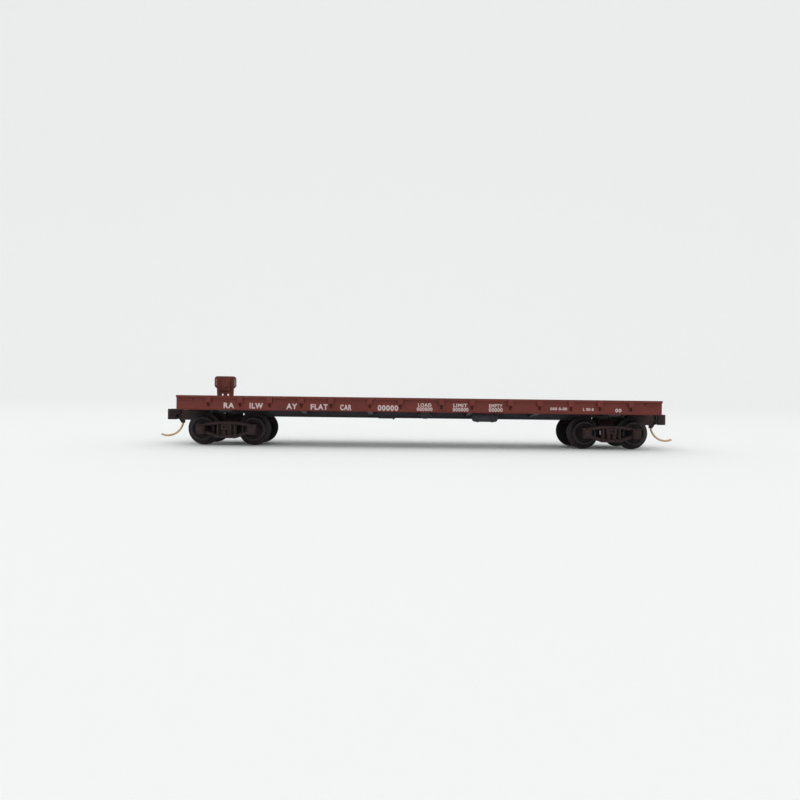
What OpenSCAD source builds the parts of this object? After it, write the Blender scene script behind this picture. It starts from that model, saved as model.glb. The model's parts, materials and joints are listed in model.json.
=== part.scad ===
// Model flat car for 9 mm gauge track, 1:160.
// Millimetres. X runs along the car, Y across it, Z up. The origin is on the centre line,
// under the middle of the car, at the level of the lowest points of the wheel flanges.
// End A is at +X. End B, with the hand brake, is at -X, and the hand brake stands on the +Y side.

/* [Body] */
// Length over the end sills
body_l = 101.9; // [95:0.1:110]
// Width over the stake pockets
body_w = 18.9; // [18:0.1:20]
// Top of the deck above the wheel flanges
deck_z = 10.7; // [10.5:0.1:11.5]
// Height of the side sill, deck edge included
sill_h = 3.0; // [2.8:0.1:3.1]
// Thickness of the deck
deck_t = 0.9; // [0.8:0.05:1]
// Number of deck boards, an odd number
boards = 111; // [91:2:131]

/* [Stake pockets] */
// Width of one pocket along the sill
pocket_w = 1.15; // [1:0.05:1.3]
// Height of one pocket, deck edge included
pocket_h = 1.45; // [1.3:0.05:1.6]
// Stake opening along the sill
stake_w = 0.6; // [0.5:0.05:0.7]

/* [Trucks] */
// Distance between the two truck pivots
truck_centres = 82.4; // [78:0.1:84]
// Distance between the two axles of a truck
wheelbase = 10.8; // [10.4:0.1:11]
// Radius of the wheel tread
tread_r = 2.62; // [2.5:0.01:2.7]
// Depth of the wheel flange
flange_h = 0.93; // [0.7:0.01:0.95]
// Distance between the backs of a pair of wheels
back_to_back = 7.6; // [7.4:0.05:7.7]
// Width of a wheel, flange included
wheel_w = 1.6; // [1.5:0.05:1.7]

/* [Couplers] */
// Height of the coupler's middle above the wheel flanges
coupler_z = 6.4; // [6.35:0.01:6.45]
// Diameter of the trip pin
trip_pin_d = 0.44; // [0.3:0.02:0.44]
// Bend radius of the trip pin
trip_pin_bend_r = 3.4; // [3:0.1:3.6]

/* [Hand brake] */
// Distance of the hand brake from the middle of the car
brake_x = 45.8; // [44:0.1:46]
// Outside radius of the brake wheel
brake_wheel_r = 1.8; // [1.6:0.1:1.9]

/* [Hidden] */
$fn = 48;
tiny = 0.01;

// Pocket positions from the middle of the car, the same both ways and on both sides
pocket_xs = [4.3, 10.7, 18.8, 25.0, 31.6, 37.7, 44.3];

// Side sill section
half_w = body_w / 2;
lip_y = half_w - 0.15;
web_y = half_w - 0.5;
web_t = 0.8;
foot_y = web_y + 0.1;
lip_h = 0.5;
foot_h = 0.13;
sill_z = deck_z - sill_h;
deck_under_z = deck_z - deck_t;
board_edge_y = web_y - 0.35;
stake_d = 0.45;
stake_y = half_w - 0.17 - stake_d;
hole_below_w = 0.55;
hole_below_h = 0.85;
end_sill_t = 0.95;
groove_w = 0.1;
groove_d = 0.07;

// Underframe and weight, inside the body shell
inner_l = body_l - 2 * end_sill_t - 0.1;
inner_w = 2 * (web_y - web_t) - 0.1;
floor_z = 8.2;
floor_t = 0.75;
weight_z = floor_z + floor_t + 0.05;
weight_t = 0.75;
weight_l = 68;
weight_w = 13.6;
centre_sill_z = 6.15;
centre_sill_w = 2.4;
centre_sill_l = 77.6;
centre_flange_w = 2.9;
truck_sill_z = 6.8;
truck_sill_end = 4.5;
bearing_z = 6.75;
bearing_r = 1.9;
pivot_x = truck_centres / 2;

// Brake gear hung under the floor
reservoir_l = 5.8;
reservoir_r = 1.15;
reservoir_x = 14.25;
reservoir_y = -4.2;
reservoir_z = 6.8;
cylinder_x = -7.4;
cylinder_y = 4.4;
cylinder_z = 6.75;
push_rod_l = 5.8;
valve_x = 1.2;
valve_y = -4.2;
rod_r = 0.13;
rod_z = 6.55;
rod_reach = 30;
rod_a_y = 2.1;
rod_b_y = 2.9;

// Wheels and axles
axle_z = tread_r + flange_h;
flange_r = axle_z;
axle_r = 0.75;
wheel_in_y = back_to_back / 2;
wheel_out_y = wheel_in_y + wheel_w;
axle_x = wheelbase / 2;

// Truck frame
frame_in_y = 5.75;
frame_t = 0.75;
rib_t = 0.3;
box_out_y = 7.4;
cup_r = 0.62;
cup_tip_y = frame_in_y + 1.25;
cone_gap = 0.06;
truck_top_z = 6.7;
bolster_z = 4.1;
bolster_top_z = 6.3;
hub_r = 2.1;
kingpin_r = 0.9;
kingpin_hole_r = 0.97;
kingpin_head_r = 1.45;

// Coupler box on the truck's tongue, measured from the truck pivot
box_x0 = 5.2;
box_x1 = 11.0;
box_out_w = 4.2;
box_in_w = 3.4;
box_z0 = 5.25;
box_floor_z = 5.65;
box_lid_z = 7.1;
box_top_z = 7.5;
swing_x = 7.3;
post_r = 0.5;
eye_r = 0.57;
shank_w = 1.2;
split_gap = 0.06;
slot_x0 = 8.5;
slot_x1 = 9.8;
slot_half = 0.6;
wide_half = 0.9;
spring_r = 0.28;
head_z0 = 5.3;
head_z1 = 7.6;
web_low_z = 5.8;
pin_x = 11.5;

// Places its children at truck A, whose coupler faces +X
module at_a() { translate([pivot_x, 0, 0]) children(); }

// Places its children at truck B, turned so that their coupler faces -X
module at_b() { translate([-pivot_x, 0, 0]) rotate([0, 0, 180]) children(); }

// Block from one corner to the opposite one
module block(low, high) { translate(low) cube(high - low); }

// Cylinder along Y, from y0 to y1, about the point x, z
module rod_y(x, z, y0, y1, r) { translate([x, y1, z]) rotate([90, 0, 0]) cylinder(h = y1 - y0, r = r); }

// Cylinder along X, from x0 to x1, about the point y, z
module rod_x(x0, x1, y, z, r) { translate([x0, y, z]) rotate([0, 90, 0]) cylinder(h = x1 - x0, r = r); }

// Round-ended bar between two points of a plane
module bar(a, b, w) {
    translate(a) rotate(atan2(b[1] - a[1], b[0] - a[0])) translate([0, -w / 2]) square([norm(b - a), w]);
    translate(a) circle(d = w);
    translate(b) circle(d = w);
}

// ---------------------------------------------------------------- body

// One side sill with its pockets, on the -Y side
module side_sill() {
    half_l = body_l / 2;
    block([-half_l, -web_y, sill_z], [half_l, -web_y + web_t, deck_z]);
    block([-half_l, -lip_y, deck_z - lip_h], [half_l, -web_y, deck_z]);
    block([-half_l, -foot_y, sill_z], [half_l, -web_y, sill_z + foot_h]);
    for (x = pocket_xs, side = [-1, 1])
        block([side * x - pocket_w / 2, -half_w, deck_z - pocket_h],
              [side * x + pocket_w / 2, -web_y, deck_z]);
}

// The stake openings, and the core holes under the pockets, on the -Y side
module stake_holes() {
    for (x = pocket_xs, side = [-1, 1]) {
        block([side * x - stake_w / 2, -stake_y - stake_d, deck_z - pocket_h - tiny],
              [side * x + stake_w / 2, -stake_y, deck_z + tiny]);
        block([side * x - hole_below_w / 2, -web_y - tiny, deck_z - pocket_h - hole_below_h],
              [side * x + hole_below_w / 2, -web_y + 0.4, deck_z - pocket_h]);
    }
}

module deck_body() {
    half_l = body_l / 2;
    board = body_l / boards;
    color([0.42, 0.19, 0.17]) difference() {
        union() {
            block([-half_l, -web_y, deck_under_z], [half_l, web_y, deck_z]);
            side_sill();
            mirror([0, 1, 0]) side_sill();
            for (side = [-1, 1])
                translate([side * (half_l - end_sill_t / 2), 0, (sill_z + deck_z) / 2])
                    cube([end_sill_t, 2 * web_y, sill_h], center = true);
        }
        stake_holes();
        mirror([0, 1, 0]) stake_holes();
        for (i = [1 : boards - 1])
            block([-half_l + i * board - groove_w / 2, -board_edge_y, deck_z - groove_d],
                  [-half_l + i * board + groove_w / 2, board_edge_y, deck_z + tiny]);
        for (side = [-1, 1])
            block([-half_l - tiny, side * board_edge_y - groove_w / 2, deck_z - groove_d],
                  [half_l + tiny, side * board_edge_y + groove_w / 2, deck_z + tiny]);
    }
}

// One wire grab iron: a straight grip and two short legs into the face behind it
module grab(grip_l, stand_off) {
    wire_r = 0.13;
    rod_x(-grip_l / 2, grip_l / 2, -stand_off, 0, wire_r);
    for (side = [-1, 1])
        rod_y(side * (grip_l / 2 - wire_r), 0, -stand_off, 0, wire_r);
}

module grab_irons() {
    side_grab_l = 3.0;
    end_grab_l = 2.4;
    grab_z = deck_z - lip_h - 0.35;
    color([0.38, 0.17, 0.15]) for (turn = [0, 180]) rotate([0, 0, turn]) {
        for (side = [-1, 1])
            translate([side * (body_l / 2 - 2.1), -web_y, grab_z]) grab(side_grab_l, 0.34);
        for (y = [-6.2, 6.2])
            translate([body_l / 2, y, grab_z - 0.5]) rotate([0, 0, 90]) grab(end_grab_l, 0.34);
    }
}

// ---------------------------------------------------------------- underframe

// Beam across the car, deep at the centre sill and shallow at the side sills
module cross_beam(x, w, deep_z, shallow_z) {
    half = inner_w / 2;
    translate([x + w / 2, 0, 0]) rotate([0, -90, 0]) linear_extrude(w)
        polygon([[floor_z + tiny, -half], [shallow_z, -half], [deep_z, -centre_sill_w / 2],
                 [deep_z, centre_sill_w / 2], [shallow_z, half], [floor_z + tiny, half]]);
}

module underframe() {
    color([0.11, 0.12, 0.14]) difference() {
        union() {
            block([-inner_l / 2, -inner_w / 2, floor_z], [inner_l / 2, inner_w / 2, floor_z + floor_t]);
            block([-centre_sill_l / 2, -centre_sill_w / 2, centre_sill_z],
                  [centre_sill_l / 2, centre_sill_w / 2, floor_z + tiny]);
            block([-centre_sill_l / 2, -centre_flange_w / 2, centre_sill_z],
                  [centre_sill_l / 2, centre_flange_w / 2, centre_sill_z + 0.3]);
            for (side = [-1, 1]) {
                for (x = [pocket_xs[1], pocket_xs[3]])
                    cross_beam(side * x, 1.1, 6.7, 7.8);
                for (x = [pocket_xs[0], pocket_xs[2]])
                    cross_beam(side * x, 0.5, 7.3, 7.8);
                for (y = [-4.8, 4.8])
                    translate([side * 38.2, y, 0]) block([-11, -0.3, 7.85], [11, 0.3, floor_z + tiny]);
                cross_beam(side * pivot_x, 2.6, 7.25, 7.35);
                translate([side * pivot_x, 0, 0]) mirror([side < 0 ? 1 : 0, 0, 0])
                    block([centre_sill_l / 2 - pivot_x - tiny, -centre_sill_w / 2, truck_sill_z],
                          [truck_sill_end, centre_sill_w / 2, floor_z + tiny]);
                translate([side * pivot_x, 0, bearing_z]) cylinder(h = floor_z - bearing_z + tiny, r = bearing_r);
            }
        }
        for (side = [-1, 1])
            translate([side * pivot_x, 0, bearing_z - tiny]) cylinder(h = 2.0, r = kingpin_r);
        block([-centre_sill_l / 2 + 1, -0.6, centre_sill_z - tiny],
              [centre_sill_l / 2 - 1, 0.6, centre_sill_z + 0.7]);
    }
}

module steel_weight() {
    color([0.6, 0.62, 0.65])
        translate([0, 0, weight_z + weight_t / 2]) cube([weight_l, weight_w, weight_t], center = true);
}

// Tank along X with a domed shell at each end and two straps
module air_reservoir() {
    color([0.12, 0.13, 0.15]) translate([reservoir_x, reservoir_y, reservoir_z]) {
        rotate([0, 90, 0]) rotate_extrude()
            polygon([[0, -reservoir_l / 2], [0.7, -reservoir_l / 2 + 0.1], [1.0, -reservoir_l / 2 + 0.3],
                     [reservoir_r, -reservoir_l / 2 + 0.6], [reservoir_r, reservoir_l / 2 - 0.6],
                     [1.0, reservoir_l / 2 - 0.3], [0.7, reservoir_l / 2 - 0.1], [0, reservoir_l / 2]]);
        for (x = [-1.6, 1.6]) {
            rotate([0, 90, 0]) translate([0, 0, x - 0.2]) cylinder(h = 0.4, r = reservoir_r + 0.1);
            block([x - 0.2, -0.6, 0], [x + 0.2, 0.6, floor_z - reservoir_z]);
        }
    }
}

// Brake cylinder along X, with its flanged head, bolts and push rod
module brake_cylinder() {
    head_x = 1.75;
    color([0.12, 0.13, 0.15]) translate([cylinder_x, cylinder_y, cylinder_z]) {
        rod_x(-1.7, 1.7, 0, 0, 0.95);
        rod_x(head_x - 0.15, head_x + 0.2, 0, 0, 1.15);
        rod_x(-1.95, -1.65, 0, 0, 0.75);
        for (a = [0 : 60 : 300])
            rod_x(head_x, head_x + 0.38, 0.93 * cos(a), 0.93 * sin(a), 0.12);
        rod_x(head_x, push_rod_l, 0, 0, 0.2);
        block([-1.1, -0.5, 0.5], [-0.6, 0.5, floor_z - cylinder_z]);
        block([0.6, -0.5, 0.5], [1.1, 0.5, floor_z - cylinder_z]);
    }
}

// Control valve: a small body with two rounded chambers
module control_valve() {
    color([0.12, 0.13, 0.15]) translate([valve_x, valve_y, 0]) {
        block([-0.9, -0.6, 6.5], [0.9, 0.6, 7.8]);
        block([-0.4, -0.4, 7.7], [0.4, 0.4, floor_z]);
        rod_x(-1.5, 1.5, 0, 7.1, 0.45);
        translate([0, -0.2, 6.2]) cylinder(h = 0.5, r = 0.5);
    }
}

// Lever at the end of the push rod, the pull rods towards the two trucks, and their hangers
module brake_rods() {
    lever_x = cylinder_x + push_rod_l;
    lever_t = 0.3;
    color([0.12, 0.13, 0.15]) {
        difference() {
            block([lever_x, rod_a_y - 0.35, rod_z - lever_t / 2], [lever_x + 0.5, cylinder_y + 0.9, rod_z + lever_t / 2]);
            block([lever_x - tiny, cylinder_y - 0.24, rod_z - lever_t], [lever_x + 0.05, cylinder_y + 0.24, rod_z + lever_t]);
        }
        rod_x(lever_x + 0.25, rod_reach, rod_a_y, rod_z, rod_r);
        rod_x(-rod_reach, lever_x + 0.25, rod_b_y, rod_z, rod_r);
        for (x = [-rod_reach, rod_reach]) translate([x, x > 0 ? rod_a_y : rod_b_y, 0])
            block([-0.15, -0.25, rod_z - 0.2], [0.15, 0.25, floor_z]);
    }
}

// ---------------------------------------------------------------- hand brake

brake_wheel_z = deck_z + 2.6;
brake_post_y = 8.1;
brake_plate_t = 0.5;
brake_shaft_r = 0.35;

// Flat outline of the hoop round the gear housing, drawn in by w on every side
module hoop_outline(w) {
    polygon([[-1.8, 1.65 + w], [-2.25 + w / 2, 1.85 + w], [-2.52 + w, 2.3 + w / 2], [-2.52 + w, 4.0 - w / 2],
             [-2.35 + w, 4.4 - w], [-1.95 + w / 2, 4.6 - w], [1.95 - w / 2, 4.6 - w], [2.35 - w, 4.4 - w],
             [2.52 - w, 4.0 - w / 2], [2.52 - w, 2.3 + w / 2], [2.25 - w / 2, 1.85 + w], [1.8, 1.65 + w]]);
}

// Bracket on the deck edge, with the gear housing, the hoop round it and the bearing for the wheel's shaft
module hand_brake_housing() {
    color([0.40, 0.18, 0.16]) translate([-brake_x, 0, 0]) difference() {
        union() {
            translate([0, brake_post_y + brake_plate_t, deck_z]) rotate([90, 0, 0]) linear_extrude(brake_plate_t) {
                polygon([[-1.9, 0], [1.9, 0], [1.98, 1.7], [2.14, 2.3], [2.14, 4.5], [-2.14, 4.5], [-2.14, 2.3], [-1.98, 1.7]]);
                difference() {
                    hoop_outline(0);
                    hoop_outline(0.2);
                }
            }
            block([-1.2, brake_post_y - 0.45, deck_z + 1.2], [1.2, brake_post_y + tiny, deck_z + 4.0]);
            rod_y(0, brake_wheel_z, brake_post_y - 0.65, brake_post_y + brake_plate_t, 0.8);
        }
        rod_y(0, brake_wheel_z, brake_post_y - 0.25, brake_post_y + 1, brake_shaft_r + 0.06);
        for (x = [-0.65, 0.65])
            block([x - 0.22, brake_post_y - 1, deck_z - tiny], [x + 0.22, brake_post_y + 1, deck_z + 0.4]);
    }
}

// Spoked hand wheel on its shaft
module brake_wheel() {
    rim_t = 0.32;
    y0 = brake_post_y + brake_plate_t + 0.08;
    color([0.36, 0.16, 0.14]) translate([-brake_x, 0, brake_wheel_z]) {
        difference() {
            rod_y(0, 0, y0 + 0.3, y0 + 0.7, brake_wheel_r);
            rod_y(0, 0, y0, y0 + 1, brake_wheel_r - rim_t);
        }
        for (a = [90 : 72 : 378]) rotate([0, -a, 0])
            block([0.3, y0 + 0.3, -0.13], [brake_wheel_r - rim_t + 0.1, y0 + 0.55, 0.13]);
        rod_y(0, 0, y0, y0 + 0.72, 0.55);
        rod_y(0, 0, brake_post_y - 0.2, y0 + 0.1, brake_shaft_r);
    }
}

// ---------------------------------------------------------------- trucks, coupler towards +X

// Side frame outline in X and Z: two chords, two columns and the journal box bodies
module frame_outline(chord_w, column_w) {
    for (side = [-1, 1]) {
        bar([0, 4.85], [side * 2.3, 4.85], chord_w);
        bar([side * 2.3, 4.85], [side * 4.7, 4.5], chord_w);
        bar([0, 1.98], [side * 1.9, 1.98], chord_w);
        bar([side * 1.9, 1.98], [side * 4.7, 2.95], chord_w);
        bar([side * 1.8, 2.0], [side * 1.8, 4.8], column_w);
    }
}

// Journal box: body, lid and hinge lug. Its inner face holds the axle's cup
module journal_box() {
    block([-0.9, frame_in_y, -1.1], [0.9, box_out_y - 0.25, 1.15]);
    block([-0.72, box_out_y - 0.3, -0.95], [0.72, box_out_y - 0.08, 0.7]);
    block([-0.5, box_out_y - 0.3, -0.65], [0.5, box_out_y, 0.4]);
    rod_x(-0.4, 0.4, box_out_y - 0.25, 0.92, 0.22);
}

// Two short coil springs under the bolster end
module spring_nest() {
    for (x = [-0.62, 0.62]) translate([x, frame_in_y + 0.55, 2.2]) {
        cylinder(h = 1.35, r = 0.36);
        for (i = [0 : 3]) translate([0, 0, 0.12 + i * 0.3]) cylinder(h = 0.17, r = 0.5);
    }
}

module side_frame() {
    difference() {
        union() {
            translate([0, frame_in_y + frame_t, 0]) rotate([90, 0, 0]) linear_extrude(frame_t) frame_outline(0.72, 0.62);
            translate([0, frame_in_y + frame_t + rib_t, 0]) rotate([90, 0, 0])
                linear_extrude(rib_t + tiny) frame_outline(0.3, 0.26);
            for (side = [-1, 1]) translate([side * axle_x, 0, axle_z]) journal_box();
            block([-1.1, frame_in_y, 3.5], [1.1, frame_in_y + 1.08, 4.55]);
            block([-1.55, frame_in_y, 1.9], [1.55, frame_in_y + 0.25, 4.9]);
            spring_nest();
        }
        block([-0.75, frame_in_y + 0.7, 3.78], [0.75, frame_in_y + 2, 4.28]);
        for (side = [-1, 1]) translate([side * axle_x, frame_in_y - tiny, axle_z]) rotate([-90, 0, 0])
            cylinder(h = cup_tip_y - frame_in_y + tiny, r1 = cup_r, r2 = 0.06);
    }
}

// Frame of one truck: side frames, bolster, centre bearing, tongue and open coupler box
module truck_frame() {
    color([0.17, 0.13, 0.12]) difference() {
        union() {
            side_frame();
            mirror([0, 1, 0]) side_frame();
            translate([1.3, 0, 0]) rotate([0, -90, 0]) linear_extrude(2.6)
                polygon([[3.7, -frame_in_y - 0.2], [4.7, -frame_in_y - 0.2], [bolster_top_z, -3.2],
                         [bolster_top_z, 3.2], [4.7, frame_in_y + 0.2], [3.7, frame_in_y + 0.2],
                         [bolster_z, 3.2], [bolster_z, -3.2]]);
            translate([0, 0, bolster_z]) cylinder(h = bolster_top_z - bolster_z, r = hub_r);
            translate([0, 0, bolster_top_z - tiny]) cylinder(h = truck_top_z - bolster_top_z + tiny, r = bearing_r - 0.1);
            block([1.5, -1.3, 5.3], [box_x0 + 0.4, 1.3, truck_top_z]);
            block([-2.9, -1.3, 4.9], [-1.2, 1.3, 6.0]);
            block([1.5, -0.4, 4.8], [box_x0 + 0.4, 0.4, 5.4]);
            block([box_x0, -box_out_w / 2, box_z0], [box_x1, box_out_w / 2, box_lid_z]);
        }
        translate([0, 0, bolster_z - tiny]) cylinder(h = truck_top_z, r = kingpin_hole_r);
        translate([0, 0, bolster_z - tiny]) cylinder(h = 0.6, r = kingpin_head_r + 0.12);
        difference() {
            block([box_x0 + 0.7, -box_in_w / 2, box_floor_z], [box_x1 + tiny, box_in_w / 2, box_lid_z + tiny]);
            translate([swing_x, 0, box_floor_z - tiny]) cylinder(h = 2, r = post_r);
        }
    }
    color([0.17, 0.13, 0.12])
        translate([swing_x, 0, box_lid_z - tiny]) cylinder(h = box_top_z - box_lid_z - 0.03, r = post_r);
}

// Push-in pivot pin. Its head carries the truck, and its shank is tight in the underframe
module kingpin() {
    color([0.16, 0.12, 0.11]) {
        translate([0, 0, bolster_z + 0.05]) cylinder(h = 0.45, r = kingpin_head_r);
        translate([0, 0, bolster_z + 0.1]) cylinder(h = 8.4 - bolster_z, r = kingpin_r);
    }
}

// Plate over the coupler box, on the swing post
module coupler_box_lid() {
    color([0.16, 0.12, 0.11]) difference() {
        union() {
            block([box_x0, -box_out_w / 2, box_lid_z], [box_x1, box_out_w / 2, box_top_z - 0.05]);
            block([box_x0 + 1, -box_out_w / 2 + 0.5, box_top_z - 0.06], [box_x1 - 0.4, box_out_w / 2 - 0.5, box_top_z]);
        }
        translate([swing_x, 0, box_lid_z - 1]) cylinder(h = 2, r = post_r + 0.02);
    }
}

// ---------------------------------------------------------------- wheelsets

// One axle with its two needle ends
module axle(x) {
    needle_y = frame_in_y + 0.15;
    slope = (cup_r - 0.06) / (cup_tip_y - frame_in_y);
    needle_r = cup_r - 0.15 * slope - cone_gap;
    tip_y = needle_y + (needle_r - 0.03) / slope;
    color([0.15, 0.12, 0.12]) translate([x, 0, axle_z]) rotate([-90, 0, 0]) rotate_extrude()
        polygon([[0, -tip_y], [0.03, -tip_y], [needle_r, -needle_y], [needle_r, -wheel_out_y],
                 [axle_r, -wheel_out_y], [axle_r, wheel_out_y],
                 [needle_r, wheel_out_y], [needle_r, needle_y], [0.03, tip_y], [0, tip_y]]);
}

// Section of a wheel, from the axle outwards. The second number runs from the back face to the front face
wheel_section = [[axle_r, 0.0], [1.35, 0.0], [1.5, 0.3], [2.1, 0.3], [2.25, 0.05], [flange_r - 0.28, 0.0],
    [flange_r - 0.07, 0.06], [flange_r, 0.2], [flange_r - 0.05, 0.34], [flange_r - 0.6, 0.52],
    [tread_r + 0.06, 0.66], [tread_r - 0.05, wheel_w - 0.1], [tread_r - 0.15, wheel_w],
    [2.1, wheel_w], [1.95, wheel_w - 0.35], [1.35, wheel_w - 0.5], [1.15, wheel_w - 0.1],
    [1.05, wheel_w], [axle_r, wheel_w]];

// One wheel. side is 1 for the left wheel and -1 for the right one, looking towards the coupler
module wheel(x, side) {
    color([0.15, 0.12, 0.12]) translate([x, 0, axle_z]) rotate([-90 * side, 0, 0])
        translate([0, 0, wheel_in_y]) rotate_extrude() polygon(wheel_section);
}

// ---------------------------------------------------------------- couplers

// Shank of one coupler half: the eye that turns on the box's post, and the slot for the spring
module shank(z0, z1) {
    difference() {
        union() {
            translate([swing_x, 0, z0]) cylinder(h = z1 - z0, r = 1.05);
            block([swing_x, -shank_w / 2, z0], [11.9, shank_w / 2, z1]);
            block([slot_x0 - 0.3, -wide_half, z0], [slot_x1 + 0.3, wide_half, z1]);
        }
        translate([swing_x, 0, z0 - 1]) cylinder(h = z1 - z0 + 2, r = eye_r);
        block([slot_x0, -slot_half, z0 - 1], [slot_x1, slot_half, z1 + 1]);
    }
}

// Upper half: shank, top plate and the guard arm
module coupler_jaw() {
    split_z = coupler_z + split_gap / 2;
    color([0.13, 0.11, 0.11]) {
        shank(split_z, box_lid_z - 0.1);
        translate([0, 0, split_z]) linear_extrude(head_z1 - split_z)
            polygon([[11.45, -0.6], [11.45, 0.6], [11.95, 0.95], [12.95, 1.35], [13.95, 1.75], [14.35, 1.6],
                     [14.25, 1.3], [13.35, 0.85], [12.9, 0.45], [12.75, -0.1], [12.55, -0.5], [12.05, -0.6]]);
        translate([0, 0, head_z0]) linear_extrude(split_z - head_z0 + tiny)
            polygon([[12.6, 1.1], [12.95, 1.35], [13.95, 1.75], [14.35, 1.6],
                     [14.25, 1.3], [13.35, 0.85], [13.05, 0.6], [12.6, 0.6]]);
    }
}

// Lower half: shank, bottom plate, the hook-shaped knuckle and the lug that holds the trip pin
module coupler_knuckle() {
    split_z = coupler_z - split_gap / 2;
    color([0.13, 0.11, 0.11]) difference() {
        union() {
            shank(box_floor_z + 0.1, split_z);
            translate([0, 0, web_low_z]) linear_extrude(split_z - web_low_z)
                polygon([[11.35, -0.6], [11.35, 0.6], [12.05, 0.6], [12.45, 0.2], [12.85, -0.65],
                         [12.65, -1.35], [12.25, -1.1], [11.75, -0.9]]);
            translate([0, 0, head_z0]) linear_extrude(head_z1 - head_z0)
                polygon([[12.6, -0.7], [12.6, -1.38], [12.75, -1.4], [13.85, -1.4], [14.35, -1.1], [14.45, -0.6],
                         [14.45, 0.1], [14.3, 0.32], [14.05, 0.35], [13.8, 0.15], [13.75, -0.4],
                         [13.55, -0.72], [13.05, -0.8]]);
            translate([0, 0.32, 0]) rotate([90, 0, 0]) linear_extrude(0.64)
                polygon([[11.15, 5.9], [11.15, 4.5], [11.8, 4.5], [12.35, 5.35], [12.35, 5.9]]);
        }
        translate([pin_x, 0, 4]) cylinder(h = 2.2, r = trip_pin_d / 2);
    }
}

// Centring spring between the two halves: a closed coil drawn as rings on a thin core
module coupler_spring() {
    coils = 7;
    wire = 0.12;
    length = slot_x1 - slot_x0 - 0.08;
    pitch = (length - wire) / (coils - 1);
    color([0.7, 0.6, 0.4]) translate([slot_x0 + 0.04, 0, coupler_z]) {
        rod_x(0, length, 0, 0, spring_r - wire / 2);
        for (i = [0 : coils - 1]) rod_x(i * pitch, i * pitch + wire, 0, 0, spring_r);
    }
}

// Curved wire under the coupler: a straight root and one bend that ends just above the rails
module trip_pin() {
    bend_sweep = 114;
    bend_z = 5.05;
    color([0.72, 0.52, 0.30]) {
        translate([pin_x, 0, bend_z]) cylinder(h = 6.2 - bend_z, r = trip_pin_d / 2);
        translate([pin_x + trip_pin_bend_r, 0, bend_z]) rotate([90, 180, 0])
            rotate_extrude(angle = bend_sweep) translate([trip_pin_bend_r, 0]) circle(d = trip_pin_d);
    }
}

deck_body();
underframe();
steel_weight();
grab_irons();
air_reservoir();
brake_cylinder();
control_valve();
brake_rods();
hand_brake_housing();
brake_wheel();

at_a() kingpin();  // a_kingpin
at_a() truck_frame();  // a_truck_frame
at_a() coupler_box_lid();  // a_coupler_box_lid
at_a() axle(axle_x);  // a_outer_axle
at_a() wheel(axle_x, 1);  // a_outer_wheel_left
at_a() wheel(axle_x, -1);  // a_outer_wheel_right
at_a() axle(-axle_x);  // a_inner_axle
at_a() wheel(-axle_x, 1);  // a_inner_wheel_left
at_a() wheel(-axle_x, -1);  // a_inner_wheel_right
at_a() coupler_jaw();  // a_coupler_jaw
at_a() coupler_knuckle();  // a_coupler_knuckle
at_a() coupler_spring();  // a_coupler_spring
at_a() trip_pin();  // a_trip_pin

at_b() kingpin();  // b_kingpin
at_b() truck_frame();  // b_truck_frame
at_b() coupler_box_lid();  // b_coupler_box_lid
at_b() axle(axle_x);  // b_outer_axle
at_b() wheel(axle_x, 1);  // b_outer_wheel_left
at_b() wheel(axle_x, -1);  // b_outer_wheel_right
at_b() axle(-axle_x);  // b_inner_axle
at_b() wheel(-axle_x, 1);  // b_inner_wheel_left
at_b() wheel(-axle_x, -1);  // b_inner_wheel_right
at_b() coupler_jaw();  // b_coupler_jaw
at_b() coupler_knuckle();  // b_coupler_knuckle
at_b() coupler_spring();  // b_coupler_spring
at_b() trip_pin();  // b_trip_pin
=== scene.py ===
"""Looks of the model flat car: finishes, lettering, springs, floor, lights and camera.

Lengths are in metres. X runs along the car, Y across it, Z up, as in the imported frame.
"""

import json
import math

import bmesh
import bpy
from mathutils import Matrix, Vector

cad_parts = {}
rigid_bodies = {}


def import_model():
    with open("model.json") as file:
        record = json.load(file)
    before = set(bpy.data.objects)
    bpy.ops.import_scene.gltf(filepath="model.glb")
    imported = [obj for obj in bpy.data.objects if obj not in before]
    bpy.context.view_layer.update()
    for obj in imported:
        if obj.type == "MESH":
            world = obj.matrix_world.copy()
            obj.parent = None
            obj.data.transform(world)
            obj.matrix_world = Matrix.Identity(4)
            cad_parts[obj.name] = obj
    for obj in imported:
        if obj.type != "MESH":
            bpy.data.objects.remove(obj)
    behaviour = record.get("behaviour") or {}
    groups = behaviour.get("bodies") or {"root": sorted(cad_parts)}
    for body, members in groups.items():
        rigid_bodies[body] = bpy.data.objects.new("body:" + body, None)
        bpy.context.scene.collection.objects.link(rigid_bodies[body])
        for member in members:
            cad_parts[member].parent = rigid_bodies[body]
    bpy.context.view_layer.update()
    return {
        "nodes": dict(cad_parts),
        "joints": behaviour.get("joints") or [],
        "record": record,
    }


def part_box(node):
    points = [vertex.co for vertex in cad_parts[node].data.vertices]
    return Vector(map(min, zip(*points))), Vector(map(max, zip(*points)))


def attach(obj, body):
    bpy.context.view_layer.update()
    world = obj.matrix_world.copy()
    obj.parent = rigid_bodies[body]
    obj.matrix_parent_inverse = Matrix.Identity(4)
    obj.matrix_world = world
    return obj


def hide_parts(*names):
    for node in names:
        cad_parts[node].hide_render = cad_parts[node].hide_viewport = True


MM = 0.001
BOARDS = 111  # boards along the deck
WEB_INSET = 0.5 * MM  # from the outside of the stake pockets in to the web of the side sill
INK_PROUD = 0.004 * MM  # how far the ink stands off the web
CAP_SHARE = 0.70  # height of a capital, as a share of the letter size

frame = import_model()
nodes = frame["nodes"]


# ------------------------------------------------------------------ sizes read from the frame

deck_low, deck_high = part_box("deck_body")
deck_top = deck_high.z
sill_bottom = deck_low.z
half_body = deck_high.x
web_y = deck_high.y - WEB_INSET
joint_at = {joint["name"]: Vector(joint["pos_m"]) for joint in frame["joints"]}


# ------------------------------------------------------------------ camera and light


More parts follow.
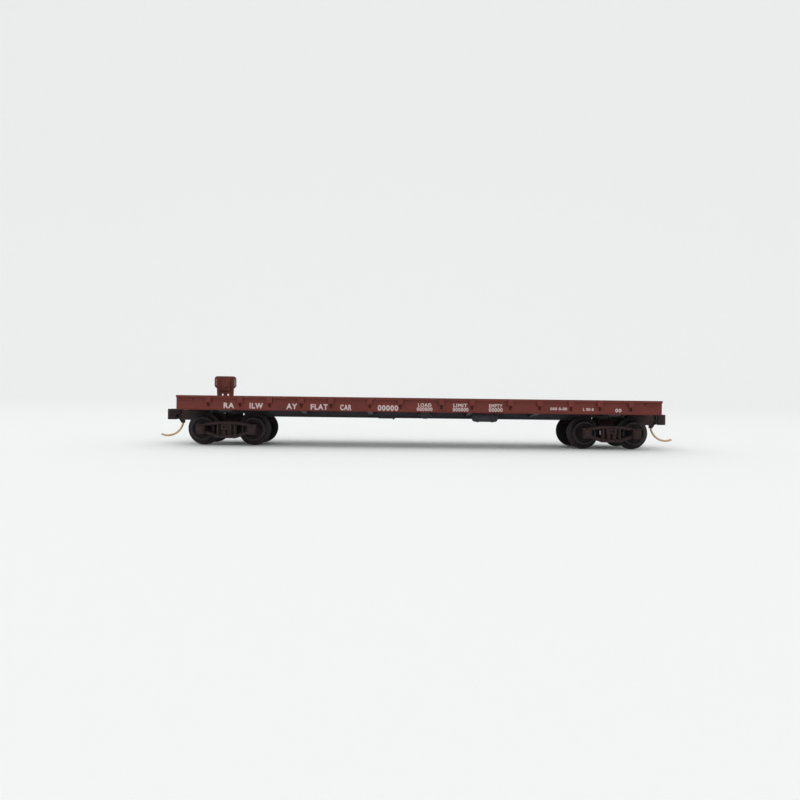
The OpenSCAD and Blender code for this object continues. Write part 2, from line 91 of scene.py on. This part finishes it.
def make_camera():
    """Stands level with the deck, a little to the left of the car's middle, leaning slightly."""
    data = bpy.data.cameras.new("camera")
    data.sensor_width = 36
    data.lens = 25.65
    data.clip_start = 0.005
    data.clip_end = 20
    camera = bpy.data.objects.new("camera", data)
    bpy.context.scene.collection.objects.link(camera)
    turn, tip, lean = math.radians(-0.96), math.radians(-0.24), math.radians(0.72)
    place = Matrix.Translation((-6.4 * MM, -128.4 * MM, deck_top + 0.03 * MM))
    camera.matrix_world = (
        place
        @ Matrix.Rotation(turn, 4, "Z")
        @ Matrix.Rotation(math.radians(90) + tip, 4, "X")
        @ Matrix.Rotation(lean, 4, "Z")
    )
    bpy.context.scene.camera = camera


def make_lamp(name, place, aim, width, height, power):
    """Soft rectangular lamp that points at aim."""
    data = bpy.data.lights.new(name, "AREA")
    data.shape = "RECTANGLE"
    data.size = width
    data.size_y = height
    data.energy = power
    lamp = bpy.data.objects.new(name, data)
    lamp.location = place
    lamp.rotation_mode = "QUATERNION"
    lamp.rotation_quaternion = (Vector(aim) - Vector(place)).to_track_quat("-Z", "Y")
    bpy.context.scene.collection.objects.link(lamp)


def make_studio():
    """Pale sweep of paper under an even white sky, with one big soft lamp above."""
    paper = plain_finish("paper", (0.925, 0.935, 0.93), 0.9)
    reach, back, rise, bend = 5.0, 0.7, 4.0, 0.6
    section = [(-reach, 0.0)]
    for step in range(13):
        angle = math.radians(90 * step / 12)
        section.append((back + bend * math.sin(angle), bend * (1 - math.cos(angle))))
    section.append((back + bend, rise))
    mesh = bpy.data.meshes.new("paper_sweep")
    points = [(side * reach, y, z) for y, z in section for side in (-1, 1)]
    faces = [(2 * i, 2 * i + 1, 2 * i + 3, 2 * i + 2) for i in range(len(section) - 1)]
    mesh.from_pydata(points, [], faces)
    mesh.shade_smooth()
    mesh.materials.append(paper)
    sweep = bpy.data.objects.new("paper_sweep", mesh)
    bpy.context.scene.collection.objects.link(sweep)

    make_lamp("top_lamp", (-0.1, -0.15, 0.7), (0, 0, 0), 0.5, 0.4, 0.45)

    world = bpy.data.worlds.new("room")
    world.use_nodes = True
    world.node_tree.nodes["Background"].inputs["Color"].default_value = (0.99, 1.0, 1.0, 1)
    world.node_tree.nodes["Background"].inputs["Strength"].default_value = 0.93
    scene = bpy.context.scene
    scene.world = world
    scene.view_settings.view_transform = "Standard"


# ------------------------------------------------------------------ finishes


class Finish:
    """One material's node tree. Patterns read Object coordinates, in metres."""

    def __init__(self, name):
        self.material = bpy.data.materials.new(name)
        self.material.use_nodes = True
        self.tree = self.material.node_tree
        self.shader = self.tree.nodes["Principled BSDF"]
        self.place = self.add("ShaderNodeTexCoord").outputs["Object"]

    def add(self, kind, **settings):
        node = self.tree.nodes.new(kind)
        for key, value in settings.items():
            setattr(node, key, value)
        return node

    def put(self, value, socket):
        """Links a socket, or sets a plain value."""
        if isinstance(value, bpy.types.NodeSocket):
            self.tree.links.new(value, socket)
        else:
            socket.default_value = value

    def stretched(self, x, y, z):
        """Object coordinates with each axis scaled, so that a pattern runs along one of them."""
        node = self.add("ShaderNodeMapping")
        node.inputs["Scale"].default_value = (x, y, z)
        self.put(self.place, node.inputs["Vector"])
        return node.outputs["Vector"]

    def noise(self, size, detail=3.0, roughness=0.55, where=None):
        """Noise from 0 to 1 whose blotches are about size metres across."""
        node = self.add("ShaderNodeTexNoise")
        self.put(where or self.place, node.inputs["Vector"])
        node.inputs["Scale"].default_value = 1 / size
        node.inputs["Detail"].default_value = detail
        node.inputs["Roughness"].default_value = roughness
        return node.outputs["Fac"]

    def ramp(self, value, low, high, out_low=0.0, out_high=1.0):
        """Stretches value from low..high to out_low..out_high, clamped."""
        node = self.add("ShaderNodeMapRange")
        self.put(value, node.inputs["Value"])
        for socket, number in zip(
            ("From Min", "From Max", "To Min", "To Max"), (low, high, out_low, out_high)
        ):
            node.inputs[socket].default_value = number
        return node.outputs["Result"]

    def mix(self, share, first, second, blend="MIX"):
        """Mixes two colours."""
        node = self.add("ShaderNodeMix", data_type="RGBA", blend_type=blend)
        self.put(share, node.inputs["Factor"])
        for socket, colour in ((node.inputs[6], first), (node.inputs[7], second)):
            self.put((*colour, 1) if isinstance(colour, tuple) else colour, socket)
        return node.outputs[2]

    def math(self, operation, first, second=0.0):
        node = self.add("ShaderNodeMath", operation=operation)
        self.put(first, node.inputs[0])
        self.put(second, node.inputs[1])
        return node.outputs[0]

    def soften(self, radius):
        """Rounds the look of every edge by a small radius, as a mould does."""
        node = self.add("ShaderNodeBevel", samples=4)
        node.inputs["Radius"].default_value = radius
        self.put(node.outputs["Normal"], self.shader.inputs["Normal"])

    def bump(self, height, depth, strength=1.0):
        """Relief of the given depth in metres. A second call adds to the first."""
        node = self.add("ShaderNodeBump")
        node.inputs["Strength"].default_value = strength
        node.inputs["Distance"].default_value = depth
        self.put(height, node.inputs["Height"])
        normal = self.shader.inputs["Normal"]
        if normal.is_linked:
            self.put(normal.links[0].from_socket, node.inputs["Normal"])
        self.put(node.outputs["Normal"], normal)

    def surface(self, colour, roughness, metallic=0.0, specular=0.5):
        base = (*colour, 1) if isinstance(colour, tuple) else colour
        self.put(base, self.shader.inputs["Base Color"])
        self.put(roughness, self.shader.inputs["Roughness"])
        self.shader.inputs["Metallic"].default_value = metallic
        self.shader.inputs["Specular IOR Level"].default_value = specular


def plain_finish(name, colour, roughness):
    finish = Finish(name)
    finish.surface(colour, roughness)
    return finish.material


def moulded_plastic(name, colour, dust, roughness=(0.42, 0.58), specular=0.16):
    """Satin moulding: cloudy colour, a fine grain, faint flow marks and a little dust."""
    finish = Finish(name)
    cloud = finish.noise(6 * MM, 4)
    speckle = finish.noise(0.35 * MM, 2)
    darker = tuple(0.82 * c for c in colour)
    lighter = tuple(1.12 * c for c in colour)
    tint = finish.mix(finish.ramp(cloud, 0.3, 0.7), darker, lighter)
    dusty = finish.ramp(speckle, 0.58, 0.80, 0.0, 0.16)
    tint = finish.mix(dusty, tint, dust)
    finish.surface(tint, finish.ramp(cloud, 0.3, 0.7, *roughness), specular=specular)
    finish.soften(0.06 * MM)
    finish.bump(finish.noise(0.09 * MM, 2), 0.004 * MM, 0.6)
    finish.bump(finish.noise(1.8 * MM, 2), 0.012 * MM, 0.5)
    return finish.material


RED_BROWN = (0.146, 0.0315, 0.0245)


def body_finish():
    """Red-brown body. On top of the deck each board has its own tint and an engraved grain."""
    finish = Finish("red_brown_moulding")
    cloud = finish.noise(5 * MM, 4)
    speckle = finish.noise(0.3 * MM, 2)
    darker = tuple(0.86 * c for c in RED_BROWN)
    lighter = tuple(1.10 * c for c in RED_BROWN)
    tint = finish.mix(finish.ramp(cloud, 0.3, 0.7), darker, lighter)

    split = finish.add("ShaderNodeSeparateXYZ")
    finish.put(finish.place, split.inputs[0])
    board_width = 2 * half_body / BOARDS
    along = finish.math("DIVIDE", finish.math("ADD", split.outputs["X"], half_body), board_width)
    board = finish.add("ShaderNodeTexWhiteNoise", noise_dimensions="1D")
    finish.put(finish.math("FLOOR", along), board.inputs["W"])
    on_deck = finish.ramp(split.outputs["Z"], deck_top - 0.12 * MM, deck_top - 0.05 * MM)
    weathered = finish.mix(board.outputs["Value"], (0.120, 0.029, 0.023), (0.178, 0.052, 0.040))
    grain = finish.noise(1.0, 5, 0.65, finish.stretched(11000, 900, 3000))
    weathered = finish.mix(
        finish.math("MULTIPLY", grain, 0.35), weathered, (0.075, 0.022, 0.018)
    )
    tint = finish.mix(on_deck, tint, weathered)
    tint = finish.mix(finish.ramp(speckle, 0.60, 0.82, 0.0, 0.14), tint, (0.30, 0.19, 0.16))
    finish.surface(tint, finish.ramp(cloud, 0.3, 0.7, 0.44, 0.60), specular=0.18)
    finish.soften(0.05 * MM)
    finish.bump(finish.math("MULTIPLY", grain, on_deck), 0.03 * MM, 0.7)
    finish.bump(finish.noise(0.09 * MM, 2), 0.004 * MM, 0.6)
    finish.bump(finish.noise(2.0 * MM, 2), 0.012 * MM, 0.5)
    return finish.material


def wheel_finish(name, colour):
    """Smooth, cloudy plastic with a fine grain."""
    finish = Finish(name)
    cloud = finish.noise(2.5 * MM, 3)
    darker = tuple(0.8 * c for c in colour)
    lighter = tuple(1.3 * c for c in colour)
    tint = finish.mix(finish.ramp(cloud, 0.3, 0.7), darker, lighter)
    finish.surface(tint, finish.ramp(cloud, 0.3, 0.7, 0.34, 0.5), specular=0.16)
    finish.bump(finish.noise(0.12 * MM, 2), 0.004 * MM, 0.5)
    return finish.material


def wire_finish(name, colour, dull):
    """Drawn wire: metal with a fine grain and duller patches."""
    finish = Finish(name)
    patch = finish.noise(0.9 * MM, 3)
    tint = finish.mix(finish.ramp(patch, 0.35, 0.7), colour, dull)
    finish.surface(tint, finish.ramp(patch, 0.35, 0.7, 0.28, 0.5), metallic=1.0)
    finish.bump(finish.noise(0.08 * MM, 2), 0.003 * MM, 0.5)
    return finish.material


def steel_finish():
    """Rolled strip with a grain along the car."""
    finish = Finish("rolled_steel")
    grain = finish.noise(1.0, 4, 0.6, finish.stretched(300, 9000, 9000))
    tint = finish.mix(grain, (0.42, 0.43, 0.45), (0.58, 0.59, 0.61))
    finish.surface(tint, finish.ramp(grain, 0.3, 0.7, 0.32, 0.45), metallic=1.0)
    finish.bump(grain, 0.004 * MM, 0.5)
    return finish.material


def ink_finish():
    """Pad-printed lettering: slightly uneven off-white ink."""
    finish = Finish("off_white_ink")
    thin = finish.noise(0.22 * MM, 3)
    tint = finish.mix(finish.ramp(thin, 0.35, 0.75), (0.62, 0.52, 0.50), (0.50, 0.36, 0.35))
    finish.surface(tint, 0.5)
    finish.bump(thin, 0.004 * MM, 0.5)
    return finish.material


def give_finishes():
    """One finish for each kind of part."""
    body = body_finish()
    # Blue-black plastic whose base colour is set lighter than the moulding's own: painted
    # reflected light on the strip below the side sill.
    underframe = moulded_plastic(
        "blue_black_moulding", (0.050, 0.0460, 0.0525), (0.09, 0.09, 0.097)
    )
    truck = moulded_plastic("dark_brown_moulding", (0.034, 0.0205, 0.019), (0.08, 0.062, 0.056))
    coupler = moulded_plastic(
        "brown_black_moulding", (0.025, 0.0165, 0.016), (0.07, 0.058, 0.055), (0.36, 0.5)
    )
    wheel = wheel_finish("wheel_moulding", (0.0205, 0.0150, 0.0165))
    wire = wire_finish("tan_wire", (0.60, 0.40, 0.22), (0.42, 0.30, 0.19))
    spring = wire_finish("bronze_wire", (0.62, 0.42, 0.22), (0.50, 0.34, 0.20))
    finish_of = {
        "body_plastic": body,
        "underframe_plastic": underframe,
        "truck_plastic": truck,
        "coupler_plastic": coupler,
        "wheel_plastic": wheel,
        "weight_steel": steel_finish(),
        "spring_bronze": spring,
        "trip_pin_brass": wire,
    }
    for part in frame["record"]["subparts"]:
        mesh = nodes[part["node"]].data
        mesh.materials.clear()
        mesh.materials.append(finish_of[part["material_slot"]])
    return finish_of


# ------------------------------------------------------------------ lettering


def finished_mesh(thing):
    """Plain mesh of an object with its modifiers, or its letters, worked out."""
    bpy.context.view_layer.update()
    depsgraph = bpy.context.evaluated_depsgraph_get()
    return bpy.data.meshes.new_from_object(thing.evaluated_get(depsgraph))


LETTERING = [
    # words, middle along the sill, width, baseline above the sill's bottom, height of a capital
    ("RA", -40.15, 2.2, 0.42, 1.1),
    ("ILW", -34.45, 2.8, 0.42, 1.1),
    ("AY", -27.0, 2.3, 0.38, 1.1),
    ("FLAT", -21.3, 3.6, 0.33, 1.1),
    ("CAR", -15.75, 2.4, 0.28, 1.1),
    ("00000", -6.9, 4.3, 0.28, 1.1),
    ("LOAD", 0.8, 2.8, 1.2, 0.7),
    ("000000", 0.8, 3.3, 0.3, 0.74),
    ("LIMIT", 8.25, 2.9, 1.2, 0.7),
    ("000000", 8.35, 3.3, 0.3, 0.74),
    ("EMPTY", 15.7, 2.8, 1.2, 0.7),
    ("00000", 15.75, 2.9, 0.33, 0.74),
    ("000 0-00", 29.05, 3.55, 0.8, 0.56),
    ("L 00-0", 35.3, 2.25, 0.75, 0.56),
    ("00", 41.7, 1.3, 0.52, 0.72),
]


def printed_word(words, middle, width, baseline, cap, side):
    """A mesh of the words on one side sill: side is -1 for the -Y face and 1 for the +Y face."""
    curve = bpy.data.curves.new("words", "FONT")
    curve.body = words
    curve.align_x = "CENTER"
    curve.size = cap * MM / CAP_SHARE
    curve.space_character = 1.15
    curve.extrude = 0.006 * MM
    curve.offset = 0.045 * cap * MM
    curve.resolution_u = 3
    thing = bpy.data.objects.new("words", curve)
    bpy.context.scene.collection.objects.link(thing)
    mesh = finished_mesh(thing)
    spread = [vertex.co.x for vertex in mesh.vertices]
    fit = width * MM / (max(spread) - min(spread))
    place = (-side * middle * MM, side * (web_y + INK_PROUD), sill_bottom + baseline * MM)
    mesh.transform(
        Matrix.Translation(place)
        @ Matrix.Rotation(math.radians(180) if side > 0 else 0, 4, "Z")
        @ Matrix.Rotation(math.radians(90), 4, "X")
        @ Matrix.Diagonal((fit, 1, 1, 1))
    )
    bpy.data.objects.remove(thing)
    return mesh


def print_lettering(ink):
    """Generic words and noughts on both side sills, one piece for each side."""
    for side, name in ((-1, "lettering_right"), (1, "lettering_left")):
        joined = bmesh.new()
        for line in LETTERING:
            joined.from_mesh(printed_word(*line, side))
        mesh = bpy.data.meshes.new(name)
        joined.to_mesh(mesh)
        joined.free()
        mesh.materials.clear()
        mesh.materials.append(ink)
        piece = bpy.data.objects.new(name, mesh)
        bpy.context.scene.collection.objects.link(piece)
        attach(piece, "car")


# ------------------------------------------------------------------ springs


def coil_tree():
    """Node tree of a wound spring along Z, one coil at each point of the incoming mesh."""
    tree = bpy.data.node_groups.new("wound_spring", "GeometryNodeTree")
    tree.interface.new_socket("Geometry", in_out="INPUT", socket_type="NodeSocketGeometry")
    for label in ("Turns", "Radius", "Height", "Wire Radius"):
        tree.interface.new_socket(label, in_out="INPUT", socket_type="NodeSocketFloat")
    tree.interface.new_socket("Material", in_out="INPUT", socket_type="NodeSocketMaterial")
    tree.interface.new_socket("Geometry", in_out="OUTPUT", socket_type="NodeSocketGeometry")
    given = tree.nodes.new("NodeGroupInput")
    result = tree.nodes.new("NodeGroupOutput")
    spiral = tree.nodes.new("GeometryNodeCurveSpiral")
    spiral.inputs["Resolution"].default_value = 20
    section = tree.nodes.new("GeometryNodeCurvePrimitiveCircle")
    section.inputs["Resolution"].default_value = 10
    wire = tree.nodes.new("GeometryNodeCurveToMesh")
    wire.inputs["Fill Caps"].default_value = True
    smooth = tree.nodes.new("GeometryNodeSetShadeSmooth")
    points = tree.nodes.new("GeometryNodeMeshToPoints")
    place = tree.nodes.new("GeometryNodeInstanceOnPoints")
    real = tree.nodes.new("GeometryNodeRealizeInstances")
    coat = tree.nodes.new("GeometryNodeSetMaterial")
    for source, target in (
        (given.outputs["Turns"], spiral.inputs["Rotations"]),
        (given.outputs["Radius"], spiral.inputs["Start Radius"]),
        (given.outputs["Radius"], spiral.inputs["End Radius"]),
        (given.outputs["Height"], spiral.inputs["Height"]),
        (given.outputs["Wire Radius"], section.inputs["Radius"]),
        (given.outputs["Geometry"], points.inputs["Mesh"]),
        (given.outputs["Material"], coat.inputs["Material"]),
        (spiral.outputs["Curve"], wire.inputs["Curve"]),
        (section.outputs["Curve"], wire.inputs["Profile Curve"]),
        (wire.outputs["Mesh"], smooth.inputs["Geometry"]),
        (points.outputs["Points"], place.inputs["Points"]),
        (smooth.outputs["Geometry"], place.inputs["Instance"]),
        (place.outputs["Instances"], real.inputs["Geometry"]),
        (real.outputs["Geometry"], coat.inputs["Geometry"]),
        (coat.outputs["Geometry"], result.inputs["Geometry"]),
    ):
        tree.links.new(source, target)
    return tree


def wound_springs(name, tree, feet, turns, radius, height, wire, finish, turn=None):
    """One piece made of equal springs that stand on the feet, moved by turn if it is given."""
    mesh = bpy.data.meshes.new(name)
    mesh.from_pydata(feet, [], [])
    thing = bpy.data.objects.new(name, mesh)
    bpy.context.scene.collection.objects.link(thing)
    modifier = thing.modifiers.new("coil", "NODES")
    modifier.node_group = tree
    values = {
        "Turns": turns,
        "Radius": radius,
        "Height": height,
        "Wire Radius": wire,
        "Material": finish,
    }
    for item in tree.interface.items_tree:
        if item.in_out == "INPUT" and item.name in values:
            modifier[item.identifier] = values[item.name]
    wound = finished_mesh(thing)
    thing.modifiers.remove(modifier)
    if turn is not None:
        wound.transform(turn)
    thing.data = wound
    return thing


# Spring nests of a side frame: places from the truck's pivot, foot height and wire, in metres
NEST_X = 0.62 * MM
NEST_Y = 6.3 * MM
NEST_FOOT = 2.27 * MM
NEST_TURNS, NEST_RADIUS, NEST_HEIGHT, NEST_WIRE = 4.2, 0.44 * MM, 1.2 * MM, 0.085 * MM

# Spring between the two halves of a coupler
COIL_TURNS, COIL_WIRE = 8, 0.055 * MM


def make_springs(finish_of):
    """Wound wire between the coupler halves, and the spring nests of the side frames."""
    tree = coil_tree()
    for end in ("a", "b"):
        low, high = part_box(f"{end}_coupler_spring")
        middle = (low + high) / 2
        reach = (high.z - low.z) / 2
        length = (high.x - low.x) - 2 * COIL_WIRE
        turn = Matrix.Translation((middle.x - length / 2, middle.y, middle.z)) @ Matrix.Rotation(
            math.radians(90), 4, "Y"
        )
        coil = wound_springs(
            f"{end}_coupler_coil", tree, [(0, 0, 0)], COIL_TURNS, reach - COIL_WIRE, length,
            COIL_WIRE, finish_of["spring_bronze"], turn,
        )
        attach(coil, f"{end}_coupler")
        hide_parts(f"{end}_coupler_spring")

        pivot = joint_at[f"{end}_truck_swivel"]
        feet = [
            (pivot.x + x, y, NEST_FOOT) for x in (-NEST_X, NEST_X) for y in (-NEST_Y, NEST_Y)
        ]
        nest = wound_springs(
            f"{end}_spring_nests", tree, feet, NEST_TURNS, NEST_RADIUS, NEST_HEIGHT,
            NEST_WIRE, finish_of["truck_plastic"],
        )
        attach(nest, f"truck_{end}")


# ------------------------------------------------------------------ putting it together

make_camera()
make_studio()
finishes = give_finishes()
print_lettering(ink_finish())
make_springs(finishes)
